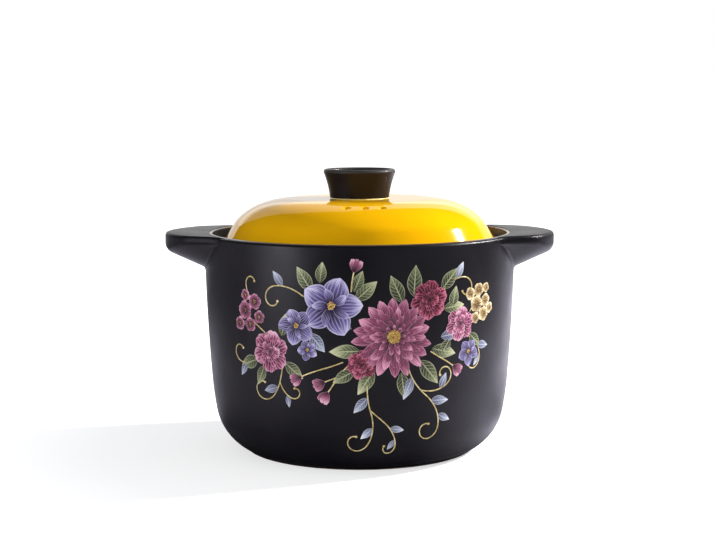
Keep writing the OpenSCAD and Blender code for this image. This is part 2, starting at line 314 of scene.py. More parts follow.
# %% Turn the lid
REST_Z, FLANGE_R, FLANGE_T, FLANGE_W = 155.8, 110.55, 5.0, 7.0
SKIRT_R, SKIRT_T, SKIRT_H = 100.5, 4.0, 7.5
CROWN_Z, LID_T = 192.2, 6.0
CROWN_R, SHOULDER_R, BROW_R = 80.0, 50.0, 22.0
CROWN_SLOPE, SHOULDER_SLOPE, SIDE_SLOPE = 13.6, 44.0, 59.0
FOOT_FILLET = 1.6

drop = (CROWN_R * (1 - cosine(CROWN_SLOPE))
        + SHOULDER_R * (cosine(CROWN_SLOPE) - cosine(SHOULDER_SLOPE))
        + BROW_R * (cosine(SHOULDER_SLOPE) - cosine(SIDE_SLOPE)))
side_foot = (FLANGE_R - FLANGE_W, REST_Z + FLANGE_T)
side_top = (side_foot[0] - (CROWN_Z - drop - side_foot[1]) / tangent(SIDE_SLOPE), CROWN_Z - drop)
brow = plus(side_top, polar(-BROW_R, 90 - SIDE_SLOPE))
shoulder = plus(brow, polar(BROW_R - SHOULDER_R, 90 - SHOULDER_SLOPE))
crown = plus(shoulder, polar(SHOULDER_R - CROWN_R, 90 - CROWN_SLOPE))
side_in = plus(side_foot, polar(-LID_T, 90 - SIDE_SLOPE))
skirt_in = SKIRT_R - SKIRT_T
skirt_top = side_in[1] + (side_in[0] - skirt_in) * tangent(SIDE_SLOPE)
hollow_c = (side_foot[0] + FOOT_FILLET * tangent(SIDE_SLOPE / 2), side_foot[1] + FOOT_FILLET)
lid_outline = (
    [(0, CROWN_Z), (crown[0] * 0.5, CROWN_Z)]
    + arc(crown, CROWN_R, 90, 90 - CROWN_SLOPE, 14)
    + arc(shoulder, SHOULDER_R, 90 - CROWN_SLOPE, 90 - SHOULDER_SLOPE, 20, 1)
    + arc(brow, BROW_R, 90 - SHOULDER_SLOPE, 90 - SIDE_SLOPE, 8, 1)
    + arc(hollow_c, FOOT_FILLET, 270 - SIDE_SLOPE, 270, 6)
    + arc((FLANGE_R - FLANGE_T / 2, REST_Z + FLANGE_T / 2), FLANGE_T / 2, 90, -90, 18)
    + [(SKIRT_R + 0.6, REST_Z), (SKIRT_R, REST_Z - 0.6)]
    + arc((SKIRT_R - SKIRT_T / 2, REST_Z - SKIRT_H + SKIRT_T / 2), SKIRT_T / 2, 0, -180, 14)
    + [(skirt_in, skirt_top - 1), (skirt_in - 0.4, skirt_top + 1)]
    + arc(brow, BROW_R - LID_T, 90 - SIDE_SLOPE, 90 - SHOULDER_SLOPE, 8)
    + arc(shoulder, SHOULDER_R - LID_T, 90 - SHOULDER_SLOPE, 90 - CROWN_SLOPE, 16, 1)
    + arc(crown, CROWN_R - LID_T, 90 - CROWN_SLOPE, 90, 8, 1)
    + [(0, CROWN_Z - LID_T)]
)
lid = turn("lid_dome", lid_outline[::-1], 240)

# %% Cut the steam holes
VENT_R, VENT_PITCH, VENT_BEARING, VENT_HOLE_R, VENT_LIP = 72.0, 13.0, 3.0, 1.6, 2.2
CUT_BELOW, CUT_ABOVE = 14, 4
vent_tilt = asin((VENT_R - shoulder[0]) / SHOULDER_R)
vent_z = shoulder[1] + SHOULDER_R * cos(vent_tilt)
flare_r = VENT_HOLE_R + VENT_LIP
cutter_outline = (
    [(0, -CUT_BELOW), (VENT_HOLE_R, -CUT_BELOW)]
    + arc((flare_r, -VENT_LIP), VENT_LIP, 180, 98, 8)
    + [(flare_r, CUT_ABOVE), (0, CUT_ABOVE)]
)
cutter = turn("vent_cutter", cutter_outline, 28)


def finished_mesh(piece):
    """The mesh that a piece's modifiers make."""
    evaluated = piece.evaluated_get(bpy.context.evaluated_depsgraph_get())
    return bpy.data.meshes.new_from_object(evaluated)


def settle(piece):
    """Applies a piece's modifiers by swapping in the finished mesh."""
    ready = finished_mesh(piece)
    piece.modifiers.clear()
    piece.data = ready
    ready.name = piece.name


cutters = []
for i in (-1, 0, 1):
    bearing = radians(VENT_BEARING - 90) + i * VENT_PITCH / VENT_R
    one = cutter.data.copy()
    one.transform(Matrix.Rotation(bearing, 4, "Z")
                  @ Matrix.Translation((VENT_R * MM, 0, vent_z * MM))
                  @ Matrix.Rotation(vent_tilt, 4, "Y"))
    cutters.append(show(bpy.data.objects.new("vent_cutter", one)))
    cut = lid.modifiers.new("vent", "BOOLEAN")
    cut.operation, cut.solver, cut.object = "DIFFERENCE", "EXACT", cutters[-1]
settle(lid)
lid.data.set_sharp_from_angle(angle=SMOOTH_ANGLE)
for tool in cutters + [cutter]:
    bpy.data.objects.remove(tool)
print("lid_dome", len(lid.data.polygons), "faces; holes at height", round(vent_z, 1), "mm")

# %% [markdown]
# ## The knob
# The knob is a small cup standing on the crown: a waisted side under a rounded lip, with a
# hollow top. It could be turned in one outline with the lid, but it was made and dipped apart,
# and a piece of its own keeps its glaze apart too. Where its foot meets the lid a fine bead of
# glaze shows, and that is a ring with a hollow outside. Its pale cream colour is a painted
# highlight.

# %% Turn the knob
KNOB_TOP, KNOB_LIP_R, KNOB_R = 214.5, 2.0, 27.5
KNOB_FLARE_R, KNOB_LEAN, KNOB_CUP = 80.0, 21.0, 10.0
knob_lip = (KNOB_R - KNOB_LIP_R, KNOB_TOP - KNOB_LIP_R)
flare = plus(knob_lip, polar(KNOB_LIP_R + KNOB_FLARE_R, -KNOB_LEAN))
flare_foot = 180 - arcsine((CROWN_Z - flare[1]) / KNOB_FLARE_R)
cup_edge = knob_lip[0] - KNOB_LIP_R
cup_ball = (cup_edge ** 2 + KNOB_CUP ** 2) / (2 * KNOB_CUP)
cup_start = -degrees(acos(cup_edge / cup_ball))
knob_outline = (
    [(0, CROWN_Z)]
    + arc(flare, KNOB_FLARE_R, flare_foot, 180 - KNOB_LEAN, 28)
    + arc(knob_lip, KNOB_LIP_R, -KNOB_LEAN, 180, 22, 1)
    + arc((0, knob_lip[1] - KNOB_CUP + cup_ball), cup_ball, cup_start, -90, 20, 1)
)
knob = turn("knob_cup", knob_outline, 128)
print("knob_cup", len(knob.data.polygons), "faces")

# %% Turn the bead under the knob
BEAD, TUCKED_IN, TUCKED_DOWN = 0.7, 0.3, 0.2
knob_foot_r = knob_outline[1][0]
bead_in, bead_out, bead_foot = knob_foot_r - TUCKED_IN, knob_foot_r + BEAD, CROWN_Z - TUCKED_DOWN
bead = turn("knob_bead", [(bead_in, bead_foot), (bead_out, bead_foot)]
            + arc((bead_out, CROWN_Z + BEAD), BEAD, 270, 190, 6)
            + [(bead_in, CROWN_Z + BEAD)], 128)
print("knob foot radius", round(knob_foot_r, 1), "mm")

# %% [markdown]
# ## Glazes
# A fired glaze is glass over clay. Its colour drifts a little, its surface is never quite flat,
# and fine pits are left where gas came out. Pictures of glaze could be wrapped on the pot, but
# noise on Object coordinates needs no unwrapping and keeps its real size on every piece. The
# helpers find the tree that they add to from a socket that is handed to them, so that a formula
# reads from the inside out.

# %% Helpers for nodes
COLOUR_A, COLOUR_B, MIXED_COLOUR = 6, 7, 2


def fill(node, values):
    """Sets the inputs of a node. A socket is linked and anything else is its plain value."""
    for key, value in values.items():
        if isinstance(value, bpy.types.NodeSocket):
            node.id_data.links.new(value, node.inputs[key])
        else:
            node.inputs[key].default_value = value


def add(tree, kind, values=None, **settings):
    """A node with some of its settings and input values."""
    node = tree.nodes.new(kind)
    for key, value in settings.items():
        setattr(node, key, value)
    fill(node, values or {})
    return node


def spread(value, low, high, to_low=0.0, to_high=1.0):
    """Maps a value from one range to another, held within the second."""
    return add(value.id_data, "ShaderNodeMapRange", {
        "Value": value, "From Min": low, "From Max": high,
        "To Min": to_low, "To Max": to_high}).outputs["Result"]


def below(value, low, high):
    """1 up to low, falling to 0 at high."""
    return spread(value, low, high, 1.0, 0.0)


def maths(operation, first, second=0.0):
    return add(first.id_data, "ShaderNodeMath", {0: first, 1: second},
               operation=operation).outputs[0]


def times(value, *others):
    """The product of some values."""
    for other in others:
        value = maths("MULTIPLY", value, other)
    return value


def most(value, *others):
    """The largest of some values."""
    for other in others:
        value = maths("MAXIMUM", value, other)
    return value


def axes(vector):
    """The parts X, Y and Z of a vector."""
    return add(vector.id_data, "ShaderNodeSeparateXYZ", {"Vector": vector}).outputs


# %% Helpers for materials
def fresh_material(name):
    """A new material, its surface shader and its object coordinates."""
    material = bpy.data.materials.new(name)
    material.use_nodes = True
    place = add(material.node_tree, "ShaderNodeTexCoord").outputs["Object"]
    return material, material.node_tree.nodes["Principled BSDF"], place


def noise(place, scale, detail=2.0, roughness=0.5):
    return add(place.id_data, "ShaderNodeTexNoise", {
        "Vector": place, "Scale": scale, "Detail": detail,
        "Roughness": roughness}).outputs["Fac"]


def blend(share, first, second):
    return add(share.id_data, "ShaderNodeMix",
               {"Factor": share, "A": first, "B": second}).outputs["Result"]


def blend_colour(share, first, second):
    """Blends two colours. Each is a socket or three numbers."""
    values = {"Factor": share}
    for key, colour in ((COLOUR_A, first), (COLOUR_B, second)):
        plain = not isinstance(colour, bpy.types.NodeSocket)
        values[key] = (*colour, 1.0) if plain else colour
    mix = add(share.id_data, "ShaderNodeMix", values, data_type="RGBA")
    return mix.outputs[MIXED_COLOUR]


def bump(height, distance, strength=1.0, lower=None):
    """A relief. It lies on a lower one, if that is given."""
    values = {"Height": height, "Distance": distance, "Strength": strength}
    if lower is not None:
        values["Normal"] = lower
    return add(height.id_data, "ShaderNodeBump", values).outputs["Normal"]


def height_and_radius(place):
    """How high a place is, and how far from the axis."""
    x, y, z = axes(place)
    return z, maths("SQRT", maths("ADD", times(x, x), times(y, y)))


# %% [markdown]
# ## Black glaze of the pot
# The black is a satin glaze in two shades. It is wiped off the foot, so that the pot doesn't
# stick to the kiln shelf, and it runs thin and glossy over the land of the lip, where its tan
# colour is partly that thin glaze and partly a painted highlight. The handles wear the same
# glaze with less shine, so that they stay dark below, over the bright table.

# %% Where the black is missing or thin
BLACKS = (0.0064, 0.0053, 0.0082), (0.0112, 0.0096, 0.0138)
CLAYS = (0.50, 0.37, 0.27), (0.30, 0.22, 0.16)
# The tan on the land of the lip is partly thin glaze and partly a painted highlight of the rim.
THIN_GLAZE_AND_HIGHLIGHT, THIN_ROUGH, CLAY_ROUGH = (0.17, 0.12, 0.06), 0.08, 0.9
SOLE_Z, SOLE_R, RECESS_Z = 0.0010, 0.0845, 0.0040
POT_SHINE, LEDGE_SHINE = 0.4, 0.2


def bare_foot(place, height, radius):
    """1 where the clay is bare: the sole of the foot ring and the recess inside it."""
    wander = times(noise(place, 90, 3), 0.0012)
    sole = below(maths("ADD", height, wander), SOLE_Z, SOLE_Z + 0.0003)
    within = below(maths("ADD", radius, wander), SOLE_R, SOLE_R + 0.0004)
    return most(sole, times(within, below(height, RECESS_Z, RECESS_Z + 0.0004)))


def lip_land(height, radius):
    """1 on the land of the lip and down its inner edge: thin glaze and a painted highlight."""
    on_top = spread(height, (LIP_TOP - 1.2) * MM, (LIP_TOP - 0.6) * MM)
    return times(on_top, below(radius, (THROAT_R + 1.5) * MM, (THROAT_R + 2.6) * MM))


# %% Black glaze
def black_glaze(name, shine):
    """Satin black, with bare clay on the foot; thin glaze and a painted highlight on the lip's
    land.
    """
    material, shader, place = fresh_material(name)
    height, radius = height_and_radius(place)
    bare, land = bare_foot(place, height, radius), lip_land(height, radius)
    black = blend_colour(spread(noise(place, 16, 4), 0.35, 0.7), *BLACKS)
    grain = noise(place, 1500, 3, 0.7)
    satin = spread(noise(place, 40, 3), 0.3, 0.7, 0.33, 0.41)
    cells = add(place.id_data, "ShaderNodeTexVoronoi", {"Vector": place, "Scale": 420.0})
    pits = below(cells.outputs["Distance"], 0.05, 0.16)
    peel = bump(noise(place, 260, 2), 0.00012, 0.5)
    fill(shader, {
        "Base Color": blend_colour(bare, blend_colour(land, black, THIN_GLAZE_AND_HIGHLIGHT),
                                   blend_colour(grain, *CLAYS)),
        "Roughness": blend(bare, blend(land, satin, THIN_ROUGH), CLAY_ROUGH),
        "Normal": bump(grain, 0.0002, 0.3, bump(pits, -0.00006, 0.5, peel)),
        "Specular IOR Level": shine,
    })
    return material


BLACK, LEDGE_BLACK = black_glaze("black_glaze", POT_SHINE), black_glaze("ledge_glaze", LEDGE_SHINE)
print("glazes:", BLACK.name, LEDGE_BLACK.name)

# %% [markdown]
# ## Glazes of the lid and the knob
# The yellow is a glossy glaze with slow waves in it. It ends in a dark band of painted shade on
# the flange, where the lid sits down in the gutter of the rim, and below that the clay is bare,
# because a glazed lid would stick to its seat in the kiln. The knob is dipped apart in a satin
# dark glaze that is greyer along its lip, partly where it breaks thin and partly as a painted
# highlight.

# %% Yellow glaze
YELLOWS = (0.91, 0.462, 0.0004), (0.96, 0.502, 0.0008)
LID_CLAYS = (0.72, 0.62, 0.47), (0.55, 0.45, 0.33)
GUTTER_SHADE, GUTTER_SHADE_R = (0.030, 0.013, 0.002), 0.1020
YELLOW_IOR, YELLOW_ROUGH, LID_CLAY_ROUGH = 1.62, 0.07, 0.8


def yellow_glaze():
    """Glossy yellow, with a dark band of painted shade on the flange and bare clay below."""
    material, shader, place = fresh_material("yellow_glaze")
    height, radius = height_and_radius(place)
    flange_top = (REST_Z + FLANGE_T) * MM
    # The dark band on the flange, down in the gutter of the rim, is painted shade.
    band = times(below(height, flange_top + 0.0001, flange_top + 0.0007),
                 spread(radius, GUTTER_SHADE_R, GUTTER_SHADE_R + 0.0010))
    edge = maths("ADD", height, times(noise(place, 70, 3), 0.0016))
    bare = below(edge, (REST_Z + 1.9) * MM, (REST_Z + 2.4) * MM)
    yellow = blend_colour(spread(noise(place, 22, 3), 0.3, 0.7), *YELLOWS)
    flow = bump(noise(place, 28, 2), 0.00012, 1.0)
    fill(shader, {
        "Base Color": blend_colour(bare, blend_colour(band, yellow, GUTTER_SHADE),
                                   blend_colour(noise(place, 1400, 3, 0.7), *LID_CLAYS)),
        "Roughness": blend(bare, YELLOW_ROUGH, LID_CLAY_ROUGH),
        "Normal": bump(noise(place, 160, 2), 0.000015, 1.0, flow),
        "IOR": YELLOW_IOR,
    })
    return material


YELLOW = yellow_glaze()
print("glaze:", YELLOW.name)

# %% Dark glaze of the knob, and the bead's pale colour painted as a highlight
BROWNS, KNOB_LIP_BREAK_AND_HIGHLIGHT = ((0.0056, 0.0044, 0.0074), (0.0094, 0.0076, 0.0116)), (0.050, 0.045, 0.046)
BEAD_HIGHLIGHTS, BEAD_ROUGH = ((0.95, 0.68, 0.18), (0.97, 0.82, 0.42)), 0.12
BROWN_SHINE = 0.24


def brown_glaze():
    """Satin dark glaze, greyer along the lip of the knob: partly thin glaze, partly a painted
    highlight.
    """
    material, shader, place = fresh_material("brown_glaze")
    height = axes(place)["Z"]
    # Greyer along the lip: partly glaze that breaks thin there, partly a painted highlight.
    lip = spread(height, (KNOB_TOP - 3.0) * MM, (KNOB_TOP - 1.6) * MM)
    brown = blend_colour(spread(noise(place, 60, 4), 0.3, 0.7), *BROWNS)
    fill(shader, {
        "Base Color": blend_colour(lip, brown, KNOB_LIP_BREAK_AND_HIGHLIGHT),
        "Roughness": spread(noise(place, 90, 2), 0.3, 0.7, 0.36, 0.42),
        "Normal": bump(noise(place, 350, 2), 0.00008, 0.6),
        "Specular IOR Level": BROWN_SHINE,
    })
    return material


# The bead is a ring of glaze; its pale cream colour is a painted highlight where it meets the
# knob.
def pale_glaze():
    material, shader, place = fresh_material("pale_glaze")
    drift = spread(noise(place, 200, 3), 0.3, 0.7)
    fill(shader, {"Base Color": blend_colour(drift, *BEAD_HIGHLIGHTS), "Roughness": BEAD_ROUGH})
    return material


BROWN, BEAD_HIGHLIGHT = brown_glaze(), pale_glaze()
print("glazes:", BROWN.name, BEAD_HIGHLIGHT.name)

# %% [markdown]
# ## Dressing the frame
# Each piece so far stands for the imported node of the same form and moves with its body: the
# wall and the handles with the pot, and the dome, the knob and its bead with the lid. That is
# said once for each piece, in a list, so that nothing is forgotten.

# %% Materials, bodies and nodes
for piece, material, body, node, finish in (
    (pot, BLACK, "pot", "pot_body", "pot_glaze"),
    (right, LEDGE_BLACK, "pot", "right_handle", "pot_glaze"),
    (left, LEDGE_BLACK, "pot", "left_handle", "pot_glaze"),
    (lid, YELLOW, "cover", "lid", "lid_glaze"),
    (knob, BROWN, "cover", "lid_knob", "knob_glaze"),
    (bead, BEAD_HIGHLIGHT, "cover", None, "lid_glaze"),
):
    piece.data.materials.clear()
    piece.data.materials.append(material)
    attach(piece, body)
    if node:
        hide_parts(node)
    print(piece.name, "rides on", body)

# %% [markdown]
# ## The painted spray
# Pots like this wear a transfer of flowers, leaves and gold scrolls, fired on over the glaze.
# This one is a plain traditional bouquet of its own. A painted picture could be laid on, but
# enamel stands a little proud, has an edge, and stays sharp close by, so it is thin geometry.
# It is laid out flat first, as on paper: X runs along the wall, Z is the height, and -Y is the
# thickness of the enamel. Geometry Nodes then put a petal on every point of the layout and wrap
# the sheet on the wall with rays.

# %% Wrap a flat layout on the wall
SHEET_R, RAY_FROM, RAY_LENGTH = 0.117, 0.2, 0.3
NUMBER_ANSWERS = ("DOT_PRODUCT", "LENGTH", "DISTANCE")


def vectors(operation, first, second=None):
    """One sum on vectors. The answer is a vector too, or a number for NUMBER_ANSWERS."""
    values = {0: first}
    if second is not None:
        values["Scale" if operation == "SCALE" else 1] = second
    made = add(first.id_data, "ShaderNodeVectorMath", values, operation=operation)
    return made.outputs["Value" if operation in NUMBER_ANSWERS else "Vector"]


def point_of(tree, **values):
    """A vector from its parts."""
    return add(tree, "ShaderNodeCombineXYZ", values).outputs[0]


def wrap_on_wall(tree, flat, wall):
    """Lays a flat sheet on the wall. A ray from outside finds the place; -Y becomes the lift."""
    x, y, z = axes(add(tree, "GeometryNodeInputPosition").outputs[0])
    bearing = maths("DIVIDE", x, SHEET_R)
    outwards = point_of(tree, X=maths("SINE", bearing), Y=times(maths("COSINE", bearing), -1.0))
    target = add(tree, "GeometryNodeObjectInfo", {"Object": wall}).outputs["Geometry"]
    hit = add(tree, "GeometryNodeRaycast", {
        "Target Geometry": target,
        "Source Position": vectors("ADD", vectors("SCALE", outwards, RAY_FROM),
                                   point_of(tree, Z=z)),
        "Ray Direction": vectors("SCALE", outwards, -1.0), "Ray Length": RAY_LENGTH}).outputs
    lift = vectors("SCALE", hit["Hit Normal"], times(y, -1.0))
    spot = vectors("ADD", hit["Hit Position"], lift)
    return add(tree, "GeometryNodeSetPosition", {"Geometry": flat, "Position": spot}).outputs[0]


# %% [markdown]
# ## Petals and leaves
# One petal is a small shield: a grid that follows an outline, a little crowned, with its back
# sunk in the glaze so that it is a closed body. Every petal could be drawn by itself, but a few
# shapes that come back in other sizes and tones keep the faces few. A petal remembers how far
# along and across each point lies, and the enamel paints its shades and veins from that.

# %% A shield of enamel
SUNK_BACK = 0.25 * MM


def shield(name, half_width, tip, crown, columns=6, rows=9):
    """A petal of unit length and width: its half width, ends and relief are functions on it."""
    points, marks = [], []
    for j in range(rows + 1):
        v = j / rows
        for i in range(columns + 1):
            u = 2 * i / columns - 1
            points.append((0.5 * u * half_width(v), -crown(u, v), tip(u, v)))
            marks.append((u, v, 0.0))
    wide = columns + 1
    edge = (list(range(wide)) + [j * wide + columns for j in range(1, rows + 1)]
            + [rows * wide + i for i in range(columns - 1, -1, -1)]
            + [j * wide for j in range(rows - 1, 0, -1)])
    back = len(points)
    for k in edge:
        points.append((points[k][0], SUNK_BACK, points[k][2]))
        marks.append(marks[k])
    backs = list(range(back, len(points)))
    sides = [[a, b, d, c] for a, b, c, d in zip(edge, backs, edge[1:] + edge[:1],
                                                backs[1:] + backs[:1])]
    piece = make_piece(name, points, skin(rows + 1, wide) + sides + [backs[::-1]], 1.0)
    mark = piece.data.attributes.new("petal", "FLOAT_VECTOR", "POINT")
    mark.data.foreach_set("vector", [c for m in marks for c in m])
    return piece


# %% Shapes of a petal
def low_dome(height):
    """A relief that rises to a height, tilted so that each petal overlaps the next."""
    return lambda u, v: (height * (1 - u * u) * min(1.0, 4 * v, 5 * (1 - v))
                         + 0.02 * MM + 0.05 * MM * (1 + u))


def plain_tip(u, v):
    """An end as the outline gives it."""
    return v


def slender(v):
    """The half width of a petal at a share of its length: widest a little past the middle."""
    return 0.12 + 0.88 * sin(pi * v ** 1.25) ** 0.7 if 0 < v < 1 else 0.06


def rounded(v):
    """Widest near a broad end."""
    return 0.18 + 0.82 * sin(0.68 * pi * v ** 0.9)


def notched_tip(u, v):
    """An end that is drawn in at its sides, with a notch in the middle."""
    return v - v ** 3 * (0.30 * u * u + 0.10 * max(0.0, 1 - abs(u) / 0.35))


def pointed(v):
    """Widest in the middle and narrow at both ends."""
    return 0.16 + 0.84 * sin(pi * v ** 0.95) ** 0.85 if 0 < v < 0.99 else 0.03


def toothed(v):
    """Widest before the middle, with teeth along the edge."""
    teeth = 1 + 0.08 * sin(9 * 2 * pi * v)
    return 0.03 + 0.97 * sin(pi * v ** 0.85) * teeth if 0 < v < 1 else 0.03


SLENDER = shield("slender_petal", slender, plain_tip, low_dome(0.12 * MM))
ROUND = shield("round_petal", rounded, notched_tip, low_dome(0.14 * MM), 8, 9)
POINTED = shield("pointed_petal", pointed, plain_tip, low_dome(0.12 * MM))
LEAF = shield("leaf", toothed, plain_tip, low_dome(0.12 * MM), 6, 18)
DOT = shield("dot", lambda v: 2 * sqrt(max(0.0, 0.25 - (v - 0.5) ** 2)) + 0.02,
             lambda u, v: v - 0.5,
             lambda u, v: 0.25 * MM * (1 - u * u) * 4 * v * (1 - v) + 0.02 * MM, 4, 4)
SHAPES = (SLENDER, ROUND, POINTED, LEAF, DOT)
print("petal shapes:", [shape.name for shape in SHAPES])

# %% Helpers for geometry trees
def new_tree(name, **inputs):
    """A geometry tree with named inputs, and its input and output nodes."""
    tree = bpy.data.node_groups.new(name, "GeometryNodeTree")
    tree.interface.new_socket(name="Geometry", in_out="OUTPUT", socket_type="NodeSocketGeometry")
    for label, kind in {"Geometry": "Geometry", **inputs}.items():
        tree.interface.new_socket(name=label, in_out="INPUT", socket_type="NodeSocket" + kind)
    return tree, tree.nodes.new("NodeGroupInput"), tree.nodes.new("NodeGroupOutput")


def run_tree(piece, tree, **values):
    """Sets a geometry tree to work on a piece, with values for its named inputs."""
    nodes = piece.modifiers.new(tree.name, "NODES")
    nodes.node_group = tree
    for socket in tree.interface.items_tree:
        if socket.name in values:
            nodes[socket.identifier] = values[socket.name]


def finish_on_wall(tree, start, end, geometry):
    """Makes geometry real, wraps it on the wall and paints it with the tree's own inputs."""
    real = add(tree, "GeometryNodeRealizeInstances", {"Geometry": geometry}).outputs[0]
    wrapped = wrap_on_wall(tree, real, start.outputs["Wall"])
    painted = add(tree, "GeometryNodeSetMaterial",
                  {"Geometry": wrapped, "Material": start.outputs["Enamel"]})
    fill(end, {"Geometry": painted.outputs[0]})


# %% The tree that sets petals on a layout
def remembered(tree, name, kind):
    """A value that each point of the layout carries."""
    return add(tree, "GeometryNodeInputNamedAttribute", {"Name": name}, data_type=kind).outputs[0]


petal_tree, start, end = new_tree("petals_on_wall", Petal="Object", Wall="Object",
                                  Enamel="Material")
model = add(petal_tree, "GeometryNodeObjectInfo", {"Object": start.outputs["Petal"]})
placed = add(petal_tree, "GeometryNodeInstanceOnPoints", {
    "Points": start.outputs["Geometry"], "Instance": model.outputs["Geometry"],
    "Rotation": point_of(petal_tree, Y=remembered(petal_tree, "turn", "FLOAT")),
    "Scale": remembered(petal_tree, "size", "FLOAT_VECTOR")})
finish_on_wall(petal_tree, start, end, placed.outputs[0])
print(petal_tree.name, len(petal_tree.nodes), "nodes")


# %% Lay one piece of the spray
def lay(name, layout, petal, enamel):
    """A piece from rows of (x, z, lift, turn, width, length, tone) in mm, a petal for each."""
    mesh = bpy.data.meshes.new(name)
    mesh.from_pydata([(x * MM, -lift * MM, z * MM) for x, z, lift, *_ in layout], [], [])
    for label, values in (("turn", [radians(row[3]) for row in layout]),
                          ("tone", [row[6] for row in layout])):
        mesh.attributes.new(label, "FLOAT", "POINT").data.foreach_set("value", values)
    sizes = [c for row in layout for c in (row[4] * MM, 1.0, row[5] * MM)]
    mesh.attributes.new("size", "FLOAT_VECTOR", "POINT").data.foreach_set("vector", sizes)
    piece = show(bpy.data.objects.new(name, mesh))
    run_tree(piece, petal_tree, Petal=petal, Wall=pot, Enamel=enamel)
    settle(piece)
    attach(piece, "pot")
    print(name, len(layout), "petals,", len(piece.data.polygons), "faces")


# %% [markdown]
# ## Enamel colours
# Overglaze enamel is brushed from a deep tone at the heart of a petal to a pale rim, with fine
# strokes along it. Leaves get a midrib and side veins. One plain colour for each flower would
# look like cut paper, so one recipe paints them all from three tones: deep, middle and pale.
# The tones are written as they look on a screen.

# %% Colours and lines of enamel
ENAMEL_ROUGH, LINE_STRENGTH = 0.32, 0.66
DEEP_UP_TO, MIDDLE_AT = 0.20, 0.64


def as_light(colour):
    """A screen colour, 0 to 255, as linear light."""
    return [c / 255 / 12.92 if c < 10 else ((c / 255 + 0.055) / 1.055) ** 2.4 for c in colour]


def comb(value, low, high, height):
    """Fine lines, one in the middle of each unit of a value."""
    off_line = maths("ABSOLUTE", maths("SUBTRACT", maths("FRACT", value), 0.5))
    return spread(off_line, low, high, height, 0.0)


def lines_on(across, along, streaks, ribbed):
    """The pale lines of a petal: its rim, and its streaks or the ribs of a leaf."""
    side = maths("ABSOLUTE", across)
    line = most(spread(side, 0.84, 0.97), spread(along, 0.93, 0.99))
    if ribbed:
        slanted = maths("SUBTRACT", times(along, 7.0), times(side, 1.6))
        line = most(line, below(side, 0.05, 0.11), comb(slanted, 0.06, 0.16, 0.55))
    if streaks:
        ends = times(spread(along, 0.12, 0.5), spread(along, 0.72, 0.92, 1.0, 0.35))
        line = most(line, times(comb(times(across, streaks / 2), 0.08, 0.22, 0.62), ends))
    return line


# %% One recipe for every enamel
def enamel(name, deep, middle, pale, streaks=0, ribbed=False):
    """Overglaze paint on a petal. streaks is the number of fine lines along it."""
    material, shader, _ = fresh_material(name)
    tree = material.node_tree
    deep, middle, pale = as_light(deep), as_light(middle), as_light(pale)
    mark = add(tree, "ShaderNodeAttribute", attribute_name="petal").outputs["Vector"]
    tone = add(tree, "ShaderNodeAttribute", attribute_name="tone").outputs["Fac"]
    across, along, _ = axes(mark)
    brush = point_of(tree, X=times(across, 5.0), Y=times(along, 1.3), Z=times(tone, 37.0))
    stroke = spread(noise(brush, 1.0, 3, 0.65), 0.3, 0.7, -0.24, 0.24)
    shade = maths("ADD", maths("ADD", along, stroke), spread(tone, 0.0, 1.0, -0.24, 0.10))
    ramp = add(tree, "ShaderNodeValToRGB", {"Fac": shade})
    stops = ramp.color_ramp.elements
    stops[0].position = DEEP_UP_TO
    stops[0].color, stops[1].color = (*deep, 1.0), (*pale, 1.0)
    stops.new(MIDDLE_AT).color = (*middle, 1.0)
    line = times(lines_on(across, along, streaks, ribbed), LINE_STRENGTH)
    fill(shader, {
        "Base Color": blend_colour(line, ramp.outputs["Color"], pale),
        "Roughness": ENAMEL_ROUGH,
        "Normal": bump(stroke, 0.00004, 0.6),
    })
    return material


# %% Gold and the enamels
GOLDS, GOLD_METAL = ((190, 164, 96), (244, 226, 172)), 0.25


def gold():
    """Gold lustre, paler where it is worn."""
    material, shader, place = fresh_material("gold_lustre")
    worn = spread(noise(place, 300, 3), 0.35, 0.65)
    fill(shader, {"Base Color": blend_colour(worn, *map(as_light, GOLDS)),
                  "Metallic": GOLD_METAL, "Roughness": ENAMEL_ROUGH})
    return material


MAGENTA = enamel("magenta_enamel", (38, 2, 20), (120, 26, 74), (228, 160, 190), 7)
CRIMSON = enamel("crimson_enamel", (36, 2, 14), (108, 14, 46), (206, 118, 146), 5)
ROSE = enamel("rose_enamel", (58, 8, 36), (146, 50, 98), (238, 186, 208), 5)
BLUE = enamel("blue_enamel", (40, 24, 66), (100, 88, 152), (214, 208, 242), 7)
CREAM = enamel("cream_enamel", (96, 66, 34), (184, 154, 100), (250, 238, 206), 3)
SAGE = enamel("sage_enamel", (44, 54, 34), (104, 114, 80), (208, 208, 168), 0, True)
SILVER = enamel("silver_enamel", (84, 88, 120), (146, 154, 184), (230, 234, 244), 0, True)
STAMEN = enamel("stamen_enamel", (130, 80, 18), (222, 178, 70), (254, 242, 176))
GOLD = gold()
print("materials:", len(bpy.data.materials))

# %% [markdown]
# ## Laying out the bouquet
# A flower is a few rings of petals about one centre, the long ones lowest. A leaning flower has
# shorter petals on the side turned away. Points could be scattered at random, but a bouquet is
# composed: the places are written down, and dice with a fixed seed only loosen the petals. All
# sizes are millimetres on the sheet.

# %% Rings, hearts and rosettes
GOLDEN_TURN = 137.508
dice = random.Random(21)


def ring_of(x, z, count, start_r, length, width, lift, turned=0.0, lean=0.0, lean_to=0.0,
            loose=4.0):
    """One ring of petals about a centre."""
    rows = []
    for k in range(count):
        a = turned + 360 * k / count + dice.uniform(-loose, loose)
        long = length * (1 + lean * cosine(a - lean_to)) * dice.uniform(0.94, 1.04)
        rows.append((x + start_r * sine(a), z + start_r * cosine(a), lift, a,
                     width * dice.uniform(0.93, 1.06), long, dice.random()))
    return rows


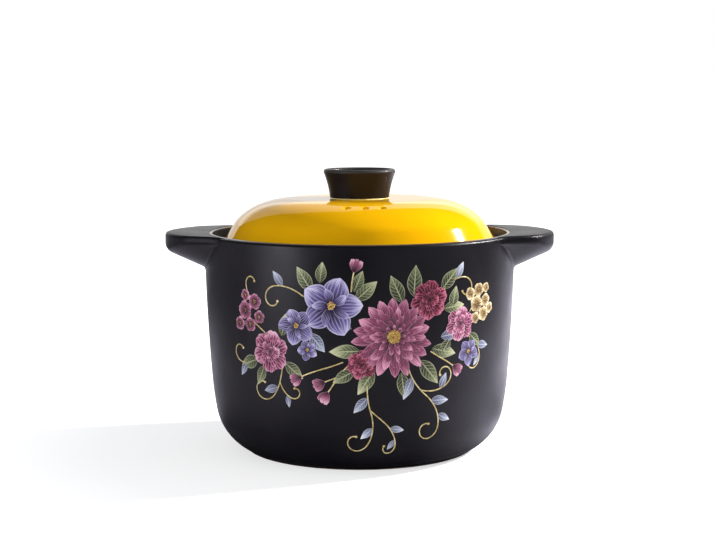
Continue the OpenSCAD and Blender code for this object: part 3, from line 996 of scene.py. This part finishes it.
def heart_of(x, z, count, radius, size, lift):
    """Dots packed as in the heart of a flower, each a golden turn from the last."""
    rows = []
    for k in range(count):
        r, a = radius * sqrt((k + 0.5) / count), GOLDEN_TURN * k
        rows.append((x + r * sine(a), z + r * cosine(a), lift, a, size, size, dice.random()))
    return rows


def floret(x, z, size, count, lift):
    """A small open flower at a turn of its own."""
    return ring_of(x, z, count, 0.10 * size, 0.92 * size, 5.0 / count * size, lift,
                   dice.uniform(0, 72), loose=3)


def rosette(x, z, size, lift):
    """Rings of round petals, the largest lowest, as in a full camellia."""
    rows = []
    for count, start_r, length, width, turned in (
        (6, .30, .72, .80, 10), (6, .20, .60, .68, 40), (5, .11, .48, .56, 15),
        (5, .05, .36, .44, 50), (3, .00, .24, .30, 0),
    ):
        rows += ring_of(x, z, count, start_r * size, length * size, width * size, lift, turned)
        lift += 0.05
    return rows


# %% The large flowers
MUM = (24, 102)
mum = []
for count, start_r, length, width, turned in (
    (18, 7.5, 21.5, 7.8, 0), (17, 6.0, 17.5, 7.0, 9), (15, 5.0, 13.2, 6.0, 3),
    (12, 4.2, 9.2, 5.0, 12), (9, 3.4, 5.8, 3.8, 0),
):
    lift = 0.14 + 0.05 * len(mum) / 18
    mum += ring_of(*MUM, count, start_r, length, width, lift, turned, 0.09, 200)
hearts = heart_of(*MUM, 60, 4.8, 1.2, 0.44)
bells = []
for x, z, size, up in (
    (-20, 124, 20.0, 15), (-46, 109, 12.5, -20), (86, 87, 9.0, 30), (-38, 92, 7.0, 50),
):
    bells += ring_of(x, z, 5, 0.12 * size, size, 0.92 * size, 0.10, up, 0.08, 180)
    bells += ring_of(x, z, 5, 0.10 * size, 0.60 * size, 0.40 * size, 0.16, up + 36, 0.08, 180)
    hearts += heart_of(x, z, 14, 0.13 * size, 0.06 * size + 0.35, 0.26)
camellia = rosette(-68, 89, 15.5, 0.08) + rosette(77, 108, 13.0, 0.08)
crimson = rosette(50, 127, 14.5, 0.04) + rosette(1, 82, 11.0, 0.04)
lay("spray_mum", mum, SLENDER, MAGENTA)
lay("spray_bellflowers", bells, POINTED, BLUE)
lay("spray_camellias", camellia, ROUND, ROSE)
lay("spray_dark_camellias", crimson, ROUND, CRIMSON)

# %% Clusters
pink, cream = [], []
for x, z, size, rows in (
    (-91, 117, 7.0, pink), (-81, 124, 6.0, pink), (-97, 107, 5.2, pink), (-86, 107, 5.4, pink),
    (-77, 113, 4.8, pink), (-90, 128, 4.4, pink), (93, 121, 6.6, cream), (101, 113, 5.6, cream),
    (103, 123, 5.0, cream), (95, 131, 5.4, cream), (108, 117, 4.2, cream),
    (86, 129, 4.8, cream), (103, 132, 3.8, cream), (92, 111, 4.4, cream),
):
    rows += floret(x, z, size, 5, 0.05)
    hearts += heart_of(x, z, 6, 0.22 * size, 0.75, 0.18)
lay("spray_pink_florets", pink, ROUND, ROSE)
lay("spray_cream_florets", cream, ROUND, CREAM)

# %% [markdown]
# ## Leaves, tendrils and hearts
# A tendril could be a Bezier curve with handles set by hand. It is simpler to draw it like a
# skate on ice: it sets off in a direction and its bend grows steadily, so that it curls up at
# the end. Small leaves and buds grow from the tendrils, so they are set out from points along
# them. The nodes sweep a small round along each path, thin at both ends.

# %% Drawing a tendril
STEP, LEAST_STEPS = 0.9, 4


def stroll(x, z, heading, *bends):
    """A tendril. Each bend is (length, first turn, last turn), turns in degrees per mm."""
    path = [(x, z)]
    for length, first, last in bends:
        steps = max(LEAST_STEPS, int(length / STEP))
        for k in range(steps):
            heading += (first + (last - first) * (k + 0.5) / steps) * length / steps
            x += sine(heading) * length / steps
            z += cosine(heading) * length / steps
            path.append((x, z))
    return path


def point_on(path, share):
    """Place and heading at a share of a path."""
    k = min(len(path) - 2, int(share * (len(path) - 1)))
    (x, z), (x1, z1) = path[k], path[k + 1]
    return x, z, degrees(atan2(x1 - x, z1 - z))


def branch(path, share, turned, *bends):
    """A tendril that leaves another one."""
    x, z, heading = point_on(path, share)
    return stroll(x, z, heading + turned, *bends)


# %% Paths of the tendrils
long_tail = stroll(34, 84, 172, (30, -1.6, -1.2), (26, 1.0, 2.6), (36, 3.8, 12.5))
low_tail = stroll(8, 80, 202, (34, -1.5, -0.8), (24, 1.5, 2.5), (30, 4, 13))
left_tail = stroll(-58, 80, 188, (22, 0.4, 1.8), (36, 3.2, 11.5))
side_tail = stroll(-80, 84, 236, (16, 1.0, 2.6), (26, 4.5, 14))
upper_left = stroll(-40, 130, -52, (24, -1.4, -2.4), (28, -4.2, -13))
upper_right = stroll(60, 132, 36, (22, 2.0, 3.0), (26, 4.5, 14))
right_tail = stroll(86, 98, 112, (18, 2.0, 3.4), (26, 4.2, 13))
long_branch = branch(long_tail, 0.27, -28, (22, -1.6, -3.0), (26, -4.5, -15))
low_branch = branch(low_tail, 0.36, -30, (16, -1.0, 1.0), (18, 1.5, 3.0), (18, 6, 18))
left_branch = branch(left_tail, 0.22, -34, (14, -2.5, -4.0), (16, -7, -20))
pink_curl = stroll(-84, 124, -36, (12, 1.0, 3.0), (15, 6, 18))
SCROLLS = [long_tail, low_tail, left_tail, side_tail, upper_left, upper_right, right_tail,
           long_branch, low_branch, left_branch, pink_curl]
low_stem = stroll(-8, 82, 226, (26, -1.2, 0.4))
BUD_STEMS = [low_stem, stroll(-12, 84, 246, (34, 0.8, -1.0)),
             stroll(52, 90, 124, (24, -0.8, 1.0)), stroll(-6, 134, 2, (15, 0.6, 1.2)),
             branch(low_stem, 0.45, 30, (12, 1.0, -1.0))]
BARE_STEMS = [stroll(-72, 102, -52, (14, -1.0, 1.0)), stroll(86, 116, 34, (12, 0.5, 1.0))]
print("scrolls", len(SCROLLS), "stems", len(BUD_STEMS) + len(BARE_STEMS))

# %% Leaves
LEAF_WIDTH = 0.46
sage = [(x, z, 0.0, a, width, length, dice.random()) for x, z, a, width, length in (
    (38, 130, 4, 11, 22), (60, 134, 42, 10, 19), (62, 120, 84, 9, 18), (30, 126, -24, 10, 21),
    (-3, 128, 48, 10, 20), (-34, 134, -32, 10, 20), (-28, 140, 8, 8, 15), (-4, 134, 22, 8, 16),
    (0, 92, 268, 10, 22), (10, 78, 214, 10, 21), (-4, 78, 240, 9, 18), (44, 84, 140, 11, 23),
    (53, 92, 104, 10, 21), (30, 76, 172, 9, 19), (-58, 101, 18, 9, 18), (-80, 82, 252, 10, 18),
    (-56, 82, 128, 9, 18), (-74, 78, 206, 8, 16), (69, 120, 12, 8, 16), (86, 100, 128, 8, 16),
    (68, 98, 214, 8, 16))]
silver = [(x, z, 0.0, a, width, length, dice.random()) for x, z, a, width, length in (
    (-6, 108, 292, 10, 21), (-36, 104, 140, 9, 17), (60, 100, 84, 8, 16))]
for path, share, turned, length in (
    (long_tail, 0.14, 50, 17), (long_tail, 0.40, -46, 15), (long_tail, 0.54, -50, 12),
    (low_tail, 0.26, 50, 15), (low_tail, 0.52, 46, 12), (left_tail, 0.30, 48, 13),
    (side_tail, 0.32, -48, 12), (upper_left, 0.34, 48, 13), (upper_right, 0.34, -48, 13),
    (right_tail, 0.28, -46, 13), (right_tail, 0.46, 44, 10), (long_branch, 0.36, -48, 12),
    (low_branch, 0.40, -46, 11), (low_branch, 0.58, 50, 9), (left_branch, 0.40, 46, 9),
):
    x, z, heading = point_on(path, share)
    silver.append((x, z, 0.0, heading + turned, LEAF_WIDTH * length, length, dice.random()))
lay("spray_leaves_sage", sage, LEAF, SAGE)
lay("spray_leaves_silver", silver, LEAF, SILVER)

# %% Buds
BUD_SPREAD, BUD_WIDTH, BUD_LENGTH = 21, 4.8, 10.0
opening = []
for stem in BUD_STEMS:
    x, z, heading = point_on(stem, 1.0)
    for turned, lift in ((-BUD_SPREAD, 0.06), (BUD_SPREAD, 0.06), (0, 0.11)):
        opening.append((x, z, lift, heading + turned, BUD_WIDTH, BUD_LENGTH, dice.random()))
lay("spray_buds", opening, ROUND, ROSE)

# %% The tree that sweeps tendrils
tendril_tree, start, end = new_tree("tendrils_on_wall", Wall="Object", Thickness="Float",
                                    Flatness="Float", Enamel="Material")
profile = add(tendril_tree, "GeometryNodeCurvePrimitiveCircle",
              {"Resolution": 8, "Radius": start.outputs["Thickness"]})
swept = add(tendril_tree, "GeometryNodeCurveToMesh", {
    "Curve": start.outputs["Geometry"], "Profile Curve": profile.outputs["Curve"],
    "Fill Caps": True})
middle = add(tendril_tree, "GeometryNodeInputPosition").outputs[0]
flat = point_of(tendril_tree, X=1.0, Y=start.outputs["Flatness"], Z=1.0)
pressed = add(tendril_tree, "GeometryNodeSetPosition", {
    "Geometry": swept.outputs[0], "Position": vectors("MULTIPLY", middle, flat)})
finish_on_wall(tendril_tree, start, end, pressed.outputs[0])
print(tendril_tree.name, len(tendril_tree.nodes), "nodes")

# %% Tendrils
THICKNESS, FLATNESS, THIN_END = 0.46 * MM, 0.35, 0.45


def tendril_piece(name, paths):
    """Sweeps all paths as one piece, thin at both ends."""
    line = bpy.data.curves.new(name, "CURVE")
    line.dimensions = "3D"
    for path in paths:
        spline = line.splines.new("POLY")
        spline.points.add(len(path) - 1)
        for k, (x, z) in enumerate(path):
            share = k / (len(path) - 1)
            spline.points[k].co = (x * MM, 0.0, z * MM, 1.0)
            full = min(1.0, 6 * share, 4 * (1 - share))
            spline.points[k].radius = THIN_END + (1 - THIN_END) * full
    drawn = show(bpy.data.objects.new(name, line))
    run_tree(drawn, tendril_tree, Wall=pot, Thickness=THICKNESS, Flatness=FLATNESS, Enamel=GOLD)
    ready = finished_mesh(drawn)
    bpy.data.objects.remove(drawn)
    ready.shade_smooth()
    made = show(bpy.data.objects.new(name, ready))
    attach(made, "pot")
    return made


tendrils = tendril_piece("spray_tendrils", SCROLLS + BUD_STEMS[:4] + BARE_STEMS + BUD_STEMS[4:])
print(tendrils.name, len(tendrils.data.polygons), "faces")

# %% Hearts and the ends of the curls
curl_ends = []
for path in SCROLLS:
    curl_ends += heart_of(*path[-1], 1, 0.1, 2.0, 0.05)
lay("spray_hearts", hearts, DOT, STAMEN)
lay("spray_curl_ends", curl_ends, DOT, GOLD)
for shape in SHAPES:
    bpy.data.objects.remove(shape)

# %% [markdown]
# ## Table and light
# A picture of a studio could light the pot, but with lamps and cards each highlight can be set
# by itself. The pot stands on a white table. Far from the pot the table is as bright as the
# background, and near it the shade of the pot stays. A small lamp stands to the right and a
# little behind, a wide soft one at the left front and a weak one overhead. None of them shows in
# the glaze. What the glaze mirrors is set apart from them: a shaped card behind, a lit floor, a
# bright card at the left, weak cards at the far left and the right front, a small window just
# above the right lamp, and a dim room around it all.

# %% Table
TABLE_SIZE, TABLE_ROUGH, NEAR_WHITE = 9.0, 0.8, 0.6
TABLE_WHITES = (0.86, 0.86, 0.86), (0.88, 0.88, 0.88)
OPAQUE_WHITE = (1.0, 1.0, 1.0, 1.0)


def white_rays(tree):
    """1 for rays of the camera and for those that are mirrored or let through."""
    ray = add(tree, "ShaderNodeLightPath").outputs
    return most(ray["Is Camera Ray"], ray["Is Glossy Ray"], ray["Is Transmission Ray"])


def table_material():
    """White that glows far from the pot, where it meets the background."""
    material, shader, place = fresh_material("white_table")
    white = spread(vectors("LENGTH", place), 0.20, 0.60, NEAR_WHITE, 1.0)
    fill(shader, {
        "Base Color": blend_colour(spread(noise(place, 6, 2), 0.3, 0.7), *TABLE_WHITES),
        "Roughness": TABLE_ROUGH,
        "Specular IOR Level": 0.0,
        "Emission Strength": times(white, white_rays(material.node_tree)),
        "Emission Color": OPAQUE_WHITE,
    })
    return material


def flat_card(name, corners, material):
    """A flat piece of the studio."""
    mesh = bpy.data.meshes.new(name)
    mesh.from_pydata(corners, [], [list(range(len(corners)))])
    card = bpy.data.objects.new(name, mesh)
    card.data.materials.append(material)
    show(card)
    return card


def square(size):
    """The corners of a square about the middle. Size is half its side."""
    return [(-size, -size), (size, -size), (size, size), (-size, size)]


table = flat_card("table", [(x, y, 0) for x, y in square(TABLE_SIZE)], table_material())
table.visible_glossy = False
print(table.name, 2 * TABLE_SIZE, "m wide")

# %% Cards that only the glaze sees
SOFT_WHITE = (0.93, 0.91, 1.0)


def glowing(name, colour, strength):
    """Light of a colour. A strength that varies is a function of the object coordinates."""
    material = bpy.data.materials.new(name)
    material.use_nodes = True
    tree = material.node_tree
    tree.nodes.clear()
    if callable(strength):
        strength = strength(add(tree, "ShaderNodeTexCoord").outputs["Object"])
    glow = add(tree, "ShaderNodeEmission", {"Color": (*colour, 1.0), "Strength": strength})
    add(tree, "ShaderNodeOutputMaterial", {"Surface": glow.outputs[0]})
    return material


def mirrored_card(name, corners, colour, strength):
    """A card that shows in reflections, and neither lights nor shades anything."""
    card = flat_card(name, corners, glowing(name + "_glow", colour, strength))
    card.visible_camera = card.visible_diffuse = card.visible_shadow = False
    card.visible_transmission = card.visible_volume_scatter = False
    return card


def standing(start, end, height):
    """The corners of an upright card over a line on the floor."""
    return [(*start, 0), (*end, 0), (*end, height), (*start, height)]


# %% The card behind
BACK_Y = 1.0
BACK_SHAPE = [(-0.75, 0), (1.1, 0), (1.1, 0.5), (0.75, 0.62), (0.3, 0.85), (-0.1, 1.5),
              (-0.5, 1.4), (-0.75, 0.85)]


def back_glow(place):
    """White at the foot, brightest in a band at half height, softer above and to the right."""
    x, _, z = axes(place)
    band = times(spread(z, 0.48, 0.64, 1.5, 0.38), spread(z, 0.37, 0.45, 0.64, 1.0))
    return times(most(band, spread(x, -0.75, 0.5, 0.38, 0.85)), below(x, 0.38, 1.05))


mirrored_card("back_card", [(x, BACK_Y, z) for x, z in BACK_SHAPE], (1.0, 1.0, 1.0), back_glow)
print("back card", BACK_Y, "m behind")

# %% The lit floor
FLOOR_WHITE = (0.89, 0.86, 1.0)
TO_RIGHT, TO_LEFT, TO_BACK = (1.0, 1.2, 0.0), (-1.0, 1.8, 0.0), (0.3, 1.0, 0.0)
POOL_MIDDLE, UNDER_LEDGE = (0.0, 0.1, 0.0), (0.20, 0.06, 0.0)


def floor_glow(place):
    """Bright beside and behind the pot, dim in front and far away, dark at the foot."""
    bearing, away = vectors("NORMALIZE", place), vectors("LENGTH", place)
    right, left, back = (vectors("DOT_PRODUCT", bearing, way)
                         for way in (TO_RIGHT, TO_LEFT, TO_BACK))
    near = most(spread(right, -0.7, 1.5, 0.10, 2.1), spread(left, 1.35, 2.05, 0.10, 1.2),
                spread(away, 0.13, 0.26, 0.03, 0.45))
    far_off = spread(vectors("DISTANCE", place, POOL_MIDDLE), 0.40, 0.66, 1.0, 0.03)
    foot_shade = spread(away, 0.095, 0.120, 0.20, 1.0)
    ledge_shade = spread(vectors("DISTANCE", place, UNDER_LEDGE), 0.03, 0.08, 0.40, 1.0)
    far_left = spread(axes(place)["X"], -0.6, -1.1, 0.0, 0.26)
    behind = times(spread(back, 0.72, 0.95, 0.0, 2.4), spread(away, 0.2, 0.45))
    return most(times(near, times(far_off, foot_shade, ledge_shade)), far_left, behind)


# %% The room and the other cards
ROOM, ROOM_GLOW = 2.4, ((0.92, 0.93, 1.0), 0.025)
walls = square(ROOM)
mirrored_card("room_floor", [(x, y, -0.001) for x, y in walls], FLOOR_WHITE, floor_glow)
mirrored_card("room_ceiling", [(x, y, ROOM) for x, y in walls], *ROOM_GLOW)
for i, (a, b) in enumerate(zip(walls, walls[1:] + walls[:1])):
    mirrored_card(f"room_wall_{i}", standing(a, b, ROOM), *ROOM_GLOW)
for name, a, b, height, strength in (
    ("left_card", (-0.97, -0.39), (-0.70, -0.78), 0.35, 4.2),
    ("far_left_card", (-1.6, -1.0), (-1.6, 1.6), 0.4, 0.28),
    ("front_right_card", (0.3, -1.5), (1.5, -0.9), 0.4, 0.55),
):
    mirrored_card(name, standing(a, b, height), SOFT_WHITE, strength)
    print(name, "glows at", strength)

# %% Lamps
AIM, LOW_AIM, RIM_HEIGHT = Vector((0, 0, 0.15)), Vector((0, 0, 0.1)), 0.17
KEY_BEARING, KEY_RISE, WINDOW_RISE = 106.5, 27.5, 30.5
WARM_WHITE, WHITE = (1.0, 0.99, 0.96), (1.0, 1.0, 1.0)
WINDOW_W, WINDOW_H, WINDOW_GLOW = 0.085, 0.028, 950.0


def around(bearing, rise, far=1.5):
    """A place around the rim. The bearing is counted from the front towards the right."""
    return Vector((far * cosine(rise) * sine(bearing), -far * cosine(rise) * cosine(bearing),
                   RIM_HEIGHT + far * sine(rise)))


def area_lamp(name, place, aim, width, height, power, colour=WHITE):
    """A soft lamp at a place, turned towards a point and hidden from the glaze."""
    lamp = bpy.data.lights.new(name, "AREA")
    lamp.shape, lamp.size, lamp.size_y = "RECTANGLE", width, height
    lamp.energy, lamp.color = power, colour
    holder = show(bpy.data.objects.new(name, lamp))
    holder.location = place
    holder.rotation_euler = (aim - place).to_track_quat("-Z", "Y").to_euler()
    holder.visible_glossy = False


area_lamp("key_lamp", around(KEY_BEARING, KEY_RISE), AIM, 0.17, 0.055, 50, WARM_WHITE)
area_lamp("top_lamp", Vector((0.5, -0.3, 1.8)), LOW_AIM, 1.6, 1.6, 1.2)
area_lamp("front_lamp", Vector((-1.15, -1.65, 0.7)), LOW_AIM, 1.5, 1.0, 15.5)
window_at = around(KEY_BEARING, WINDOW_RISE)
facing = (AIM - window_at).to_track_quat("-Z", "Y")
window = [window_at + facing @ Vector((x * WINDOW_W, y * WINDOW_H, 0)) for x, y in square(1)]
mirrored_card("key_card", window, WARM_WHITE, WINDOW_GLOW)
print("lamps and window at a bearing of", KEY_BEARING, "degrees")

# %% Background
SKY_TINT, SKY_STRENGTH = (0.93, 0.96, 1.0, 1.0), 0.28
world = bpy.data.worlds.new("studio")
bpy.context.scene.world = world
world.use_nodes = True
sky = world.node_tree
sky.nodes.clear()
soft = add(sky, "ShaderNodeBackground", {"Color": SKY_TINT, "Strength": SKY_STRENGTH})
white = add(sky, "ShaderNodeBackground", {"Color": OPAQUE_WHITE, "Strength": 1.0})
pick = add(sky, "ShaderNodeMixShader", {0: white_rays(sky), 1: soft.outputs[0],
                                        2: white.outputs[0]})
add(sky, "ShaderNodeOutputWorld", {"Surface": pick.outputs[0]})
bpy.context.scene.view_settings.view_transform = "Standard"
print("background white, soft light", SKY_STRENGTH)
